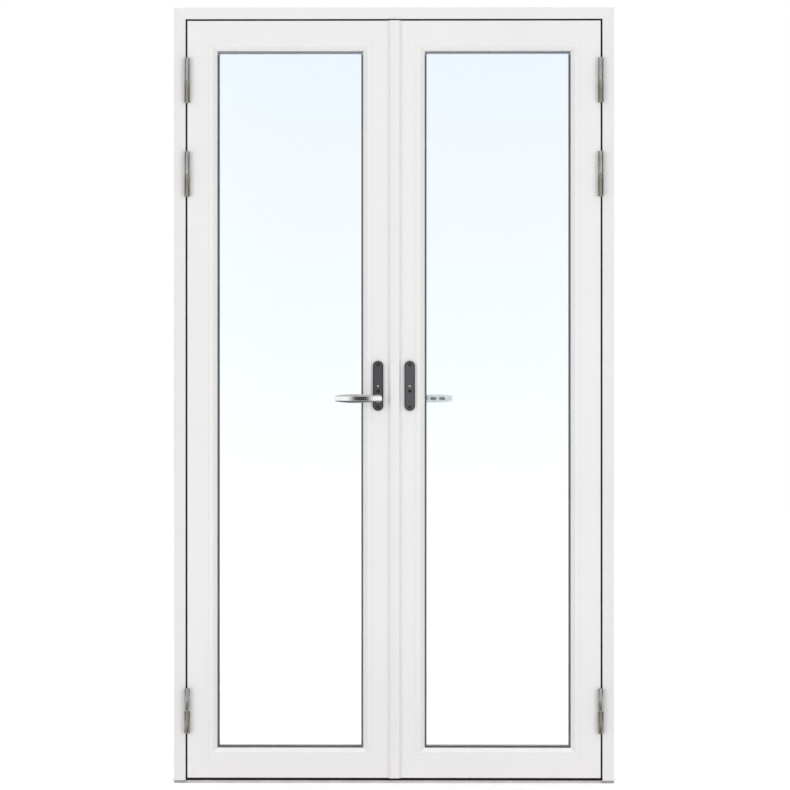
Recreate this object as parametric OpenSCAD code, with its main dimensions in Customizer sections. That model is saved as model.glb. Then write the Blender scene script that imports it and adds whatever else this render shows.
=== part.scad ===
// French doors: a pair of glazed leaves that open outwards, hung in their own frame.
// Timber inside, aluminium covers outside, lift-off hinges, and bolts thrown by a rack and pinion.
// X runs across, Y from outside to inside and Z up. The origin is under the middle of the threshold.

/* [Frame] */
// Width over the frame
frame_w = 1180; // [1080:10:1580]
// Height over the frame
frame_h = 2080; // [1900:10:2380]
// Depth of the frame
frame_d = 115; // [112:1:150]
// Width of the frame beside a leaf
face_w = 31; // [28:1:45]
// Width of the frame at its inner stop
stop_w = 50; // [44:1:70]
// Gap between a leaf and the frame
leaf_gap = 5; // [5:0.5:8]
// Thickness of the threshold under the leaves
sill_t = 7; // [6:0.5:10]
// Gap between the threshold and a leaf
sill_gap = 7; // [5:0.5:10]
// Height of the threshold's inner stop
sill_stop_h = 25; // [20:1:30]
// Wall of the threshold's inner stop
sill_wall = 3; // [2:0.5:5]
// Spacing of the grooves along the threshold
tread_step = 7; // [5:0.5:10]
// Chamfer on the timber's long edges
arris = 2; // [1:0.5:4]

/* [Leaves] */
// Gap between the two leaves
meeting_gap = 5; // [4:0.5:8]
// Thickness of a leaf
leaf_t = 72; // [70:1:76]
// Face width of a leaf's stiles and rails
member_w = 80; // [76:1:110]
// Set-back of the timber at the meeting edges
meeting_setback = 3.5; // [3.5:0.5:6]
// Gap between a closed leaf and the frame's stop
seal_gap = 4; // [3:0.5:6]

/* [Aluminium covers] */
// Depth of the covers
cover_d = 18; // [17:1:20]
// Wall of the covers
cover_wall = 2; // [1.5:0.1:3]
// Eased outer edge of the covers
cover_edge = 0.8; // [0.6:0.1:2]
// Width of the bevel beside the glass
bevel_w = 11.5; // [8:0.5:14]
// Depth of the bevel beside the glass
bevel_d = 8; // [5:0.5:9]
// Depth of the lip that holds the gasket
lip_d = 12; // [11:0.5:13]
// Distance of the fine groove from the glass edge
groove_in = 23.5; // [18:0.5:28]
// Width of the fine groove
groove_w = 2.5; // [1.5:0.1:3]
// Depth of the fine groove
groove_d = 1.1; // [0.5:0.1:1.4]

/* [Glazing] */
// Depth of the outer pane behind the leaf's face
glass_recess = 16; // [14:0.5:18]
// Thickness of a pane
pane_t = 4; // [3:0.5:6]
// Space between the panes
pane_gap = 20; // [12:1:22]
// How far the glass reaches behind its gasket
glass_bite = 10; // [9:0.5:14]
// Room around the edge of the glass
glass_clear = 5; // [3:0.5:6]
// Width of the spacer bar between the panes
spacer_w = 13.5; // [8:0.5:14]
// How far the outer gasket shows past the lip
gasket_show = 4; // [2:0.5:5]
// Thickness of the tape behind the inner pane
tape_t = 1; // [0.5:0.1:2]
// How far the inner beads show past the members
bead_show = 3.5; // [0:0.5:4]
// Bevel on the inner beads
bead_bevel = 7; // [3:0.5:10]

/* [Meeting strips] */
// Width of the left leaf's strip, from the middle
strip_left = 16; // [12:0.5:22]
// Width of the right leaf's strip, from the middle
strip_right = 19; // [14:0.5:22]
// Thickness of the strips
strip_t = 10; // [8:0.5:14]
// Chamfer along the left strip's outer edge
strip_left_chamfer = 8; // [3:0.5:9]
// Chamfer along the right strip's outer edge
strip_right_chamfer = 5.5; // [3:0.5:8]
// Hairline between the two strips
strip_line = 0.15; // [0.15:0.05:0.6]

/* [Hinges] */
// Radius of a knuckle
knuckle_r = 8; // [7:0.5:9]
// Length of a hinge
hinge_len = 120; // [90:5:150]
// Radius of a hinge pin
hinge_pin_r = 4; // [3:0.1:4.5]
// Thickness of a hinge plate
hinge_plate_t = 2.2; // [1.5:0.1:2.3]
// Depth of a hinge plate behind the face
hinge_plate_d = 36; // [28:1:42]
// Top hinge's middle, down from the leaf's top
hinge_top_drop = 160; // [120:5:220]
// Second hinge's middle, down from the leaf's top
hinge_second_drop = 411; // [390:1:600]
// Bottom hinge's middle, up from the leaf's bottom
hinge_bottom_rise = 180; // [140:5:300]

/* [Handles] */
// Height of the levers' axis
lever_z = 1031; // [900:1:1150]
// Distance of the levers' axis from the leaf's meeting edge
backset = 40; // [38:0.5:41]
// Length of a lever from its axis
lever_len = 115; // [95:1:130]
// Reach of a lever past its axis, at the hub
lever_hub = 11.5; // [10:0.5:13]
// Height of a lever at its hub
lever_h = 17.5; // [16:0.5:19]
// Height of a lever where it is widest
lever_belly_h = 23.5; // [21:0.5:26]
// Height of a lever at its tip
lever_tip_h = 15; // [12:0.5:17]
// Thickness of a lever's grip
lever_t = 12; // [10:0.5:14]
// Reach of a lever from the leaf's face
lever_reach = 54; // [46:1:65]
// Bow of a lever's grip
lever_bow = 5; // [3:0.5:9]
// Height of the flat facet along the grip's front
facet_h = 11; // [8:0.5:13]
// Radius of the lever's neck
neck_r = 8; // [7:0.5:9]
// Width of a handle plate
plate_w = 28; // [24:1:34]
// Length of a handle plate
plate_h = 134; // [110:1:170]
// Thickness of a handle plate
plate_t = 9; // [6:0.5:12]
// Bevel round a handle plate
plate_bevel = 2.5; // [1:0.5:4]
// Height of the plate's middle over the levers' axis
plate_rise = 34; // [20:1:45]
// Radius of the hole for the plate's locking pin
pin_hole_r = 4; // [2:0.5:5]
// Side of the square spindle
spindle_side = 8; // [7:0.5:9]

/* [Bolt work] */
// Tooth module of the pinion and racks
tooth_module = 1.4; // [1.2:0.05:1.5]
// Teeth on the pinion
pinion_teeth = 12; // [12:2:14]
// Play between the teeth
tooth_play = 0.3; // [0.2:0.05:0.4]
// Thickness of the pinion and racks
rack_t = 7; // [5:0.5:9]
// Thickness of a rack behind its teeth
rack_back = 7; // [6:0.5:7.5]
// Radius of a bolt rod
rod_r = 4; // [3:0.1:4.5]
// Distance of a drawn-back bolt inside the leaf's edge
bolt_in = 1; // [0.5:0.1:2]
// Height of the lock case
case_h = 110; // [100:1:140]
// Thickness of the lock case
case_t = 14; // [12:0.5:18]
// Wall of the lock case
case_wall = 1.2; // [1:0.1:1.8]
// Length of the lock's edge plate
edge_plate_h = 210; // [180:5:280]
// Width of the lock's edge plate
edge_plate_w = 20; // [18:0.5:24]
// Thickness of the lock's edge plate
edge_plate_t = 3; // [2:0.5:4]
// Thickness of a bolt keep
keep_t = 2.5; // [2:0.5:4]
// Length of a bolt keep
keep_len = 44; // [36:1:60]
// Width of a bolt keep
keep_w = 22; // [18:1:28]

/* [Fixings] */
// Radius of a fixing hole through a jamb
fixing_r = 7; // [5:0.5:9]
// Distance of the end fixing holes from the frame's ends
fixing_end = 290; // [200:10:340]
// Distance of the middle fixing holes from the end ones
fixing_step = 470; // [380:10:520]

/* [Hidden] */
$fn = 64;
// Overrun of every cut
overrun = 1;
// Room left where soft or sliding pieces meet
soft_clear = 0.3;
// Room round a turning neck, spindle or pin
turn_clear = 0.06;
// Hairline at each mitre of a leaf's covers and beads
mitre_gap = 0.05;
// Room round a bolt rod and the lock case
rod_clear = 0.4;
// Room round a bolt in its keep
keep_clear = 1;

// Planes of the frame and leaves, worked out for the left side
face_y = -frame_d / 2;
leaf_in_y = face_y + leaf_t;
stop_y = leaf_in_y + seal_gap;
frame_in_y = frame_d / 2;
timber_y = face_y + cover_d;
jamb_x = -frame_w / 2;
rebate_x = jamb_x + face_w;
stop_x = jamb_x + stop_w;
leaf_x0 = rebate_x + leaf_gap;
leaf_x1 = -meeting_gap / 2;
leaf_w = leaf_x1 - leaf_x0;
head_z = frame_h - face_w;
leaf_z0 = sill_t + sill_gap;
leaf_z1 = head_z - leaf_gap;
leaf_h = leaf_z1 - leaf_z0;
timber_w = member_w - glass_bite - glass_clear;

// Grooves along the threshold, between the gap seal and the inner stop
tread_grooves = 7;
tread_w = 2.4;

// Outer gap seal, set on the covers behind the face
gap_seal_in = 7;
gap_seal_d = 5;
gap_seal_clear = 0.6;
weather_w = 9;

// Square edge left by the chamfer of a strip
strip_edge = 1;

// Seal in the gap between the leaves, behind the strips
meeting_seal_in = 3;
meeting_seal_d = 10;
meeting_seal_clear = 0.6;
meeting_seal_nose = 1.2;

// Glazing depths behind the leaf's face
outer_pane_v = glass_recess;
inner_pane_v = glass_recess + pane_t + pane_gap;
glass_back_v = inner_pane_v + pane_t;
bead_v = glass_back_v + tape_t;
edge_seal = 1.5;
gasket_w = 9;

// Hinge axis, in front of the leaf's edge
knuckle_clear = 0.5;
knuckle_split = 3;
hinge_x = leaf_x0;
hinge_y = face_y - knuckle_r - knuckle_clear;
hinge_zs = [leaf_z1 - hinge_top_drop, leaf_z1 - hinge_second_drop, leaf_z0 + hinge_bottom_rise];
collar_in = 0.4;
collar_r = knuckle_r - collar_in;
collar_h = knuckle_split / 2 - turn_clear;
pin_down_share = 0.42;
pin_up_share = 0.36;
pin_down = pin_down_share * hinge_len;
pin_up = pin_up_share * hinge_len;
knuckle_edge = 1;

// Handle and lock, on the levers' axis
lever_x = leaf_x1 - backset;
lock_y = (timber_y + leaf_in_y) / 2;
spindle_hole_r = neck_r + 2 * cover_wall;
spindle_short = 6;
spindle_room = 0.05;
pocket_shares = [0.34, 0.55, 0.76];
pocket_len = 17;
pocket_h = 8;
pocket_d = 7;
hub_corner = 7.5;
facet_fall = 3.2;
back_fall = 1.8;
belly_share = 0.54;
belly_x = -belly_share * lever_len;
grip_steps = 10;
hub_run = 2 * lever_hub;
tip_chamfer = 2.6;

// Place and depth of the blind hole in a plate, over the levers' axis
pin_hole_z = plate_rise - plate_w / 2;
pin_hole_d = 3;

// Pinion and racks
pressure_angle = 20;
pitch_r = tooth_module * pinion_teeth / 2;
base_r = pitch_r * cos(pressure_angle);
tooth_pitch = PI * tooth_module;
tooth_addendum = tooth_module;
rack_addendum_share = 0.65;
root_gap_share = 0.25;
rack_addendum = rack_addendum_share * tooth_module;
tooth_root_gap = root_gap_share * tooth_module;
pinion_root_r = pitch_r - rack_addendum - tooth_root_gap;
pinion_tip_r = pitch_r + tooth_addendum;
hub_in = 0.4;
hub_r = pinion_root_r - hub_in;
rack_dedendum = tooth_addendum + tooth_root_gap;
tooth_t = tooth_pitch / 2 - tooth_play / 2;
bolt_stroke = pitch_r * PI / 2;
rack_face = pitch_r + rack_dedendum;
rod_off = rack_face + rack_back / 2;
rack_teeth_back = 4;
rack_teeth_ahead = 1;
flank_steps = 4;
bolt_hole_r = rod_r + keep_clear;
bolt_pocket = 6;
bolt_nose = 2;
case_x0 = -rack_face - rack_back - rod_clear - case_wall;
case_x1 = backset - meeting_setback - edge_plate_t;

// Fixing holes, behind the closed leaf's edge
fixing_y = (lock_y + leaf_in_y) / 2;
fixing_zs = [
    fixing_end, fixing_end + fixing_step,
    frame_h - fixing_end - fixing_step, frame_h - fixing_end
];

white = [0.92, 0.92, 0.91];
white_timber = [0.90, 0.90, 0.88];
zinc = [0.62, 0.61, 0.58];
anthracite = [0.31, 0.31, 0.33];
chrome = [0.80, 0.81, 0.82];
black_rubber = [0.09, 0.09, 0.09];
mill_aluminium = [0.70, 0.69, 0.69];
pane_colour = [0.88, 0.94, 0.97, 0.45];

// Left pieces are drawn as they are, right ones as their mirror image
module on_side(right) {
    mirror([right ? 1 : 0, 0, 0]) children();
}

// A bar along X, with its section drawn as depth in Y and width in Z
module bar(len) {
    rotate([90, 0, 90]) linear_extrude(len) children();
}

// A bar with both ends cut at 45 degrees, narrowing from its outer edge
module mitred_bar(len, width, depth, gap) {
    intersection() {
        bar(len) children();
        translate([0, depth + overrun, 0]) rotate([90, 0, 0]) linear_extrude(depth + 2 * overrun)
            polygon([[gap, 0], [len - gap, 0], [len - gap - width, width], [gap + width, width]]);
    }
}

// Places a bar as one side of a rectangle of the given size, at its lower left corner
module as_bottom(w, h) { children(); }
module as_top(w, h) { translate([w, 0, h]) rotate([0, 180, 0]) children(); }
module as_left(w, h) { translate([0, 0, h]) rotate([0, 90, 0]) children(); }
module as_right(w, h) { translate([w, 0, 0]) rotate([0, -90, 0]) children(); }

// A flat ring in the leaf's plane, between two insets from the leaf's edges
module leaf_ring(outer_in, inner_in, depth, v) {
    translate([leaf_x0, face_y + v, leaf_z0]) difference() {
        translate([outer_in, 0, outer_in])
            cube([leaf_w - 2 * outer_in, depth, leaf_h - 2 * outer_in]);
        translate([inner_in, -overrun, inner_in])
            cube([leaf_w - 2 * inner_in, depth + 2 * overrun, leaf_h - 2 * inner_in]);
    }
}

// A hole along X through the jambs, along Y through the leaf, or along Z for a bolt
module hole_x(x0, x1, r) { translate([x0, 0, 0]) rotate([0, 90, 0]) cylinder(h = x1 - x0, r = r); }
module hole_y(y0, y1, r) { translate([0, y1, 0]) rotate([90, 0, 0]) cylinder(h = y1 - y0, r = r); }

// Frame

module jamb_section() {
    polygon([
        [jamb_x, timber_y], [rebate_x, timber_y], [rebate_x, stop_y],
        [stop_x - arris, stop_y], [stop_x, stop_y + arris], [stop_x, frame_in_y - arris],
        [stop_x - arris, frame_in_y], [jamb_x, frame_in_y]
    ]);
}

module jamb(right) {
    color(white_timber) on_side(right) difference() {
        translate([0, 0, sill_t]) linear_extrude(frame_h - sill_t) jamb_section();
        translate([jamb_x - overrun, stop_y, 0])
            cube([stop_w + 2 * overrun, frame_in_y - stop_y + overrun, sill_stop_h]);
        for (z = fixing_zs) translate([0, fixing_y, z])
            hole_x(jamb_x - overrun, rebate_x + overrun, fixing_r);
    }
}

module head() {
    color(white_timber) difference() {
        translate([rebate_x, 0, frame_h]) mirror([0, 0, 1])
            bar(-2 * rebate_x) polygon([
                [timber_y, 0], [timber_y, face_w], [stop_y, face_w],
                [stop_y, stop_w - arris], [stop_y + arris, stop_w], [frame_in_y - arris, stop_w],
                [frame_in_y, stop_w - arris], [frame_in_y, 0]
            ]);
        for (right = [false, true]) on_side(right) {
            translate([jamb_x, stop_y, frame_h - stop_w - overrun])
                cube([stop_w, frame_in_y - stop_y + overrun, stop_w + 2 * overrun]);
            translate([lever_x + rod_off - keep_len / 2, lock_y - keep_w / 2, head_z - overrun])
                cube([keep_len, keep_w, keep_t + overrun]);
            translate([lever_x + rod_off, lock_y, head_z])
                cylinder(h = bolt_stroke + bolt_pocket, r = bolt_hole_r);
        }
    }
}

module threshold() {
    chamber = frame_in_y - stop_y - 2 * sill_wall;
    color(mill_aluminium) difference() {
        translate([jamb_x, 0, 0]) bar(frame_w) difference() {
            polygon([
                [face_y, 0], [face_y, sill_t - cover_edge], [face_y + cover_edge, sill_t],
                [stop_y, sill_t], [stop_y, sill_stop_h], [frame_in_y - arris, sill_stop_h],
                [frame_in_y, sill_stop_h - arris], [frame_in_y, 0]
            ]);
            for (i = [1 : tread_grooves]) translate([timber_y + i * tread_step, sill_t]) polygon([
                [-tread_w / 2, overrun], [-tread_w / 2, 0], [0, -tread_w / 2], [tread_w / 2, 0],
                [tread_w / 2, overrun]
            ]);
            for (side_share = [0, 1])
                translate([stop_y + sill_wall + side_share * (chamber + sill_wall) / 2, sill_wall])
                    square([(chamber - sill_wall) / 2, sill_stop_h - 2 * sill_wall]);
        }
        for (right = [false, true]) on_side(right)
            translate([lever_x - rod_off, lock_y, -overrun])
                cylinder(h = sill_t + 2 * overrun, r = bolt_hole_r);
    }
}

module frame_cover_section() {
    polygon([
        [cover_d, 0], [cover_edge, 0], [0, cover_edge], [0, face_w - cover_edge],
        [cover_edge, face_w], [cover_d, face_w], [cover_d, face_w - cover_wall],
        [cover_wall, face_w - cover_wall], [cover_wall, cover_wall], [cover_d, cover_wall]
    ]);
}

module jamb_cover(right) {
    rise = frame_h - sill_t + face_w;
    color(white) on_side(right) difference() {
        translate([jamb_x, face_y, sill_t - face_w]) as_left(frame_w, rise)
            mitred_bar(rise, face_w, cover_d, 0) frame_cover_section();
        translate([jamb_x - overrun, face_y - overrun, sill_t - face_w - overrun])
            cube([face_w + 2 * overrun, cover_d + 2 * overrun, face_w + overrun]);
    }
}

module head_cover() {
    color(white) translate([jamb_x, face_y, 0]) as_top(frame_w, frame_h)
        mitred_bar(frame_w, face_w, cover_d, 0) frame_cover_section();
}

// A soft bulb on the stop behind the leaves, and a fin in the gap round them
module weatherstrip() {
    bulb_d = seal_gap - soft_clear;
    stop_top = frame_h - stop_w;
    rise = stop_top - sill_stop_h + 2 * weather_w;
    color(black_rubber) {
        for (right = [false, true]) on_side(right)
            translate([stop_x - weather_w, stop_y, sill_stop_h - weather_w])
                as_left(weather_w, rise) bar(rise) bulb_section(bulb_d);
        translate([stop_x, stop_y, sill_stop_h - weather_w])
            bar(-2 * stop_x) bulb_section(bulb_d);
        translate([stop_x, stop_y, stop_top])
            bar(-2 * stop_x) bulb_section(bulb_d);
        gap_seal();
    }
}

// Half-round bulb in front of a flat foot, one weatherstrip width tall
module bulb_section(bulb_d) {
    translate([-bulb_d / 2, 0]) square([bulb_d / 2, weather_w]);
    intersection() {
        translate([weather_w / 2 - bulb_d, weather_w / 2]) circle(r = weather_w / 2);
        translate([-bulb_d, 0]) square([bulb_d, weather_w]);
    }
}

module gap_seal() {
    fin = leaf_gap - gap_seal_clear;
    seal_y = face_y + gap_seal_in;
    difference() {
        union() {
            for (right = [false, true]) on_side(right)
                translate([rebate_x, seal_y, sill_t]) cube([fin, gap_seal_d, head_z - sill_t]);
            translate([rebate_x, seal_y, head_z - fin]) cube([-2 * rebate_x, gap_seal_d, fin]);
            translate([rebate_x, seal_y, sill_t])
                cube([-2 * rebate_x, gap_seal_d, sill_gap - gap_seal_clear]);
        }
        for (right = [false, true], z = hinge_zs) on_side(right)
            translate([rebate_x - overrun, seal_y - overrun, z - hinge_len / 2 - soft_clear])
                cube([leaf_gap + overrun, gap_seal_d + 2 * overrun, hinge_len + 2 * soft_clear]);
    }
}

// Hinges: the lower knuckle is the frame's, the upper one the leaf's

module knuckle(len, bore_r, bore_depth) {
    difference() {
        rotate_extrude() polygon([
            [0, 0], [knuckle_r - knuckle_edge, 0], [knuckle_r, knuckle_edge],
            [knuckle_r, len], [0, len]
        ]);
        translate([0, 0, len - bore_depth]) cylinder(h = bore_depth + overrun, r = bore_r);
    }
}

module hinge_plate(on_jamb) {
    plate_x = on_jamb ? rebate_x : leaf_x0 - hinge_plate_t;
    web_z = on_jamb ? -hinge_len / 2 : knuckle_split / 2;
    web_h = (hinge_len - knuckle_split) / 2;
    translate([plate_x, face_y, -hinge_len / 2]) cube([hinge_plate_t, hinge_plate_d, hinge_len]);
    difference() {
        translate([plate_x, hinge_y, web_z]) cube([hinge_plate_t, face_y - hinge_y, web_h]);
        translate([hinge_x, hinge_y, web_z - overrun])
            cylinder(h = web_h + 2 * overrun, r = knuckle_r - knuckle_edge);
    }
}

module frame_hinges(right) {
    half = (hinge_len - knuckle_split) / 2;
    color(zinc) on_side(right) for (z = hinge_zs) translate([0, 0, z]) {
        translate([hinge_x, hinge_y, -hinge_len / 2])
            knuckle(half, hinge_pin_r, pin_down - knuckle_split / 2);
        hinge_plate(true);
    }
}

module leaf_hinges(right) {
    half = (hinge_len - knuckle_split) / 2;
    color(zinc) on_side(right) for (z = hinge_zs) translate([0, 0, z]) {
        translate([hinge_x, hinge_y, hinge_len / 2]) mirror([0, 0, 1])
            knuckle(half, hinge_pin_r + turn_clear, pin_up - knuckle_split / 2 + soft_clear);
        hinge_plate(false);
    }
}

module hinge_pins() {
    color(zinc) for (right = [false, true], z = hinge_zs) on_side(right)
        translate([hinge_x, hinge_y, z]) rotate_extrude() polygon([
            [0, -pin_down], [hinge_pin_r, -pin_down], [hinge_pin_r, 0],
            [collar_r, 0], [collar_r, collar_h], [hinge_pin_r, collar_h],
            [hinge_pin_r, pin_up - knuckle_edge], [hinge_pin_r - knuckle_edge, pin_up], [0, pin_up]
        ]);
}

module head_keeps() {
    color(zinc) for (right = [false, true]) on_side(right) difference() {
        translate([lever_x + rod_off - keep_len / 2, lock_y - keep_w / 2, head_z])
            cube([keep_len, keep_w, keep_t]);
        translate([lever_x + rod_off, lock_y, head_z - overrun])
            cylinder(h = keep_t + 2 * overrun, r = bolt_hole_r);
    }
}

// Leaf timber

module lock_mortise() {
    room = rod_clear;
    translate([lever_x, lock_y, lever_z]) {
        translate([case_x0 - room, -case_t / 2 - room, -case_h / 2 - room])
            cube([case_x1 - case_x0 + 2 * room, case_t + 2 * room, case_h + 2 * room]);
        translate([case_x1, -edge_plate_w / 2, -edge_plate_h / 2])
            cube([edge_plate_t + overrun, edge_plate_w, edge_plate_h]);
        hole_y(timber_y - lock_y - overrun, leaf_in_y - lock_y + overrun, spindle_hole_r);
    }
    translate([lever_x + rod_off, lock_y, lever_z])
        cylinder(h = leaf_z1 - lever_z + overrun, r = rod_r + rod_clear);
    translate([lever_x - rod_off, lock_y, leaf_z0 - overrun])
        cylinder(h = lever_z - leaf_z0 + overrun, r = rod_r + rod_clear);
}

module stile(x0, x1) {
    linear_extrude(leaf_h) polygon([
        [x0, timber_y], [x1, timber_y], [x1, leaf_in_y - arris], [x1 - arris, leaf_in_y],
        [x0 + arris, leaf_in_y], [x0, leaf_in_y - arris]
    ]);
}

module hinge_stile(right) {
    color(white_timber) on_side(right) translate([0, 0, leaf_z0])
        stile(leaf_x0, leaf_x0 + timber_w);
}

module meeting_stile(right) {
    color(white_timber) on_side(right) difference() {
        translate([0, 0, leaf_z0]) stile(leaf_x1 - timber_w, leaf_x1 - meeting_setback);
        lock_mortise();
    }
}

module rail(right, upper) {
    color(white_timber) on_side(right)
        translate([leaf_x0 + timber_w, timber_y, upper ? leaf_z1 - timber_w : leaf_z0])
            cube([leaf_w - 2 * timber_w, leaf_in_y - timber_y, timber_w]);
}

// Leaf covers: an edge leg, a face with a fine groove, a bevel, and a lip over the gasket

module leaf_cover_section() {
    bevel_at = member_w - bevel_w;
    groove_at = member_w - groove_in;
    rib_at = timber_w - 3 * cover_wall;
    bevel_run = cover_wall * tan(atan2(bevel_d, bevel_w) / 2);
    polygon([
        [cover_d, 0], [cover_edge, 0], [0, cover_edge],
        [0, groove_at - groove_w / 2], [groove_d, groove_at], [0, groove_at + groove_w / 2],
        [0, bevel_at], [bevel_d, member_w], [lip_d, member_w],
        [lip_d, member_w - cover_wall], [bevel_d + bevel_run, member_w - cover_wall],
        [cover_wall, bevel_at - bevel_run], [cover_wall, rib_at + cover_wall],
        [cover_d, rib_at + cover_wall], [cover_d, rib_at],
        [cover_wall, rib_at], [cover_wall, cover_wall], [cover_d, cover_wall]
    ]);
}

module leaf_cover(right, which) {
    color(white) on_side(right) translate([leaf_x0, face_y, leaf_z0]) {
        if (which == "top") as_top(leaf_w, leaf_h)
            mitred_bar(leaf_w, member_w, cover_d, mitre_gap) leaf_cover_section();
        if (which == "bottom") as_bottom(leaf_w, leaf_h)
            mitred_bar(leaf_w, member_w, cover_d, mitre_gap) leaf_cover_section();
        if (which == "hinge") as_left(leaf_w, leaf_h)
            mitred_bar(leaf_h, member_w, cover_d, mitre_gap) leaf_cover_section();
        if (which == "meeting") as_right(leaf_w, leaf_h)
            mitred_bar(leaf_h, member_w, cover_d, mitre_gap) leaf_cover_section();
    }
}

// The cover under an outer lever, with a hole for its spindle
module bored_cover(right) {
    color(white) difference() {
        leaf_cover(right, "meeting");
        at_outer_handle(right) hole_y(-overrun, cover_d + overrun, spindle_hole_r);
    }
}

// Glazing

module pane(right, v) {
    inset = member_w - glass_bite;
    color(pane_colour) on_side(right) translate([leaf_x0 + inset, face_y + v, leaf_z0 + inset])
        cube([leaf_w - 2 * inset, pane_t, leaf_h - 2 * inset]);
}

module spacer_bar(right) {
    inset = member_w - glass_bite + edge_seal;
    color(mill_aluminium) on_side(right)
        leaf_ring(inset, inset + spacer_w, pane_gap, outer_pane_v + pane_t);
}

// The outer gasket under the covers' lip, and the tape between the inner pane and the beads
module glazing_gasket(right) {
    sight = member_w + gasket_show;
    color(black_rubber) on_side(right) {
        leaf_ring(sight - gasket_w, sight, glass_recess - lip_d, lip_d);
        leaf_ring(member_w - glass_bite + edge_seal, member_w, tape_t, glass_back_v);
    }
}

module bead_section() {
    sight = member_w + bead_show - timber_w;
    depth = leaf_t - bead_v;
    polygon([[0, 0], [0, sight], [depth - bead_bevel, sight], [depth, sight - bead_bevel], [depth, 0]]);
}

module glazing_beads(right) {
    w = leaf_w - 2 * timber_w;
    h = leaf_h - 2 * timber_w;
    width = member_w + bead_show - timber_w;
    depth = leaf_t - bead_v;
    color(white_timber) on_side(right)
        translate([leaf_x0 + timber_w, face_y + bead_v, leaf_z0 + timber_w]) {
            as_bottom(w, h) mitred_bar(w, width, depth, mitre_gap) bead_section();
            as_top(w, h) mitred_bar(w, width, depth, mitre_gap) bead_section();
            as_left(w, h) mitred_bar(h, width, depth, mitre_gap) bead_section();
            as_right(w, h) mitred_bar(h, width, depth, mitre_gap) bead_section();
        }
}

// Meeting strips: each leaf has its own, so either leaf opens alone

module meeting_strip(right, width, chamfer) {
    color(white) on_side(right) translate([0, 0, leaf_z0]) linear_extrude(leaf_h) polygon([
        [-width, face_y], [-width, face_y - strip_edge], [chamfer - width, face_y - strip_t],
        [-strip_line / 2, face_y - strip_t], [-strip_line / 2, face_y]
    ]);
}

module meeting_seal() {
    y0 = face_y + meeting_seal_in;
    y1 = y0 + meeting_seal_d;
    tip = -leaf_x1 - meeting_seal_clear;
    color(black_rubber) translate([0, 0, leaf_z0]) linear_extrude(leaf_h) polygon([
        [leaf_x1, y0], [tip - meeting_seal_nose, y0], [tip, y0 + meeting_seal_nose],
        [tip, y1 - meeting_seal_nose], [tip - meeting_seal_nose, y1], [leaf_x1, y1]
    ]);
}

// Handle plates and levers, drawn on the levers' axis with the leaf's face at Y = 0 and outside at -Y

module handle_plate_blank() {
    half = plate_h / 2 - plate_w / 2;
    flat = plate_t - plate_bevel;
    rotate([90, 0, 0]) {
        linear_extrude(flat) {
            translate([-plate_w / 2, -half]) square([plate_w, 2 * half]);
            for (end_share = [-1, 1]) translate([0, end_share * half]) circle(d = plate_w);
        }
        for (end_share = [-1, 1]) translate([0, end_share * half, flat])
            cylinder(h = plate_bevel, r1 = plate_w / 2, r2 = plate_w / 2 - plate_bevel);
        translate([0, half, flat]) rotate([90, 0, 0]) linear_extrude(2 * half) polygon([
            [-plate_w / 2, 0], [plate_w / 2, 0],
            [plate_w / 2 - plate_bevel, plate_bevel], [-plate_w / 2 + plate_bevel, plate_bevel]
        ]);
    }
}

module handle_plate(with_lever) {
    color(anthracite) difference() {
        translate([0, 0, plate_rise]) handle_plate_blank();
        if (with_lever) hole_y(-plate_t - overrun, overrun, neck_r + turn_clear);
        translate([0, 0, pin_hole_z]) hole_y(-plate_t - overrun, -plate_t + pin_hole_d, pin_hole_r);
    }
}

// Half the grip's height along it: widest at the belly, less towards tip and hub
function grip_x(i) = -lever_hub - (lever_len - tip_chamfer - lever_hub) * i / grip_steps;
function grip_half(x) = lever_belly_h / 2
    - (lever_belly_h - lever_tip_h) / 2 * pow((x - belly_x) / (lever_len + belly_x), 2);

module lever_outline() {
    corner_x = lever_hub - hub_corner;
    corner_z = lever_h / 2 - hub_corner;
    for (side_share = [-1, 1]) translate([corner_x, side_share * corner_z]) circle(r = hub_corner);
    translate([0, -corner_z]) square([lever_hub, 2 * corner_z]);
    translate([-hub_run, -lever_h / 2]) square([hub_run + corner_x, lever_h]);
    polygon(concat(
        [for (i = [0 : grip_steps]) [grip_x(i), grip_half(grip_x(i))]],
        [[-lever_len, lever_tip_h / 2 - tip_chamfer], [-lever_len, tip_chamfer - lever_tip_h / 2]],
        [for (i = [grip_steps : -1 : 0]) [grip_x(i), -grip_half(grip_x(i))]]
    ));
}

module lever_grip() {
    half_len = (lever_len + lever_hub) / 2;
    bow_r = (half_len * half_len + lever_bow * lever_bow) / (2 * lever_bow);
    sweep = asin(half_len / bow_r) + asin(lever_h / bow_r);
    half_h = lever_belly_h / 2 + overrun;
    back_h = lever_belly_h / 2 - back_fall;
    shoulder = facet_fall * (2 * half_h - facet_h) / (lever_belly_h - facet_h);
    intersection() {
        translate([lever_hub - half_len, bow_r - lever_reach, 0]) rotate([0, 0, 270 - sweep])
            rotate_extrude(angle = 2 * sweep, $fn = 128) polygon([
                [bow_r, facet_h / 2], [bow_r - shoulder, half_h],
                [bow_r - lever_t, back_h], [bow_r - lever_t, -back_h],
                [bow_r - shoulder, -half_h], [bow_r, -facet_h / 2]
            ]);
        rotate([90, 0, 0]) linear_extrude(lever_reach + overrun) lever_outline();
    }
}

module lever() {
    neck_end = lever_reach - lever_bow - facet_fall;
    color(chrome) difference() {
        union() {
            lever_grip();
            hole_y(-neck_end, -soft_clear, neck_r);
        }
        translate([0, spindle_short - lever_t - lever_reach / 2, 0])
            spindle_bar(lever_reach, spindle_side / 2 + spindle_room);
        for (pocket_share = pocket_shares)
            translate([-pocket_share * lever_len, lever_t - pocket_d - lever_reach, 0]) lever_pocket();
    }
}

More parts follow.
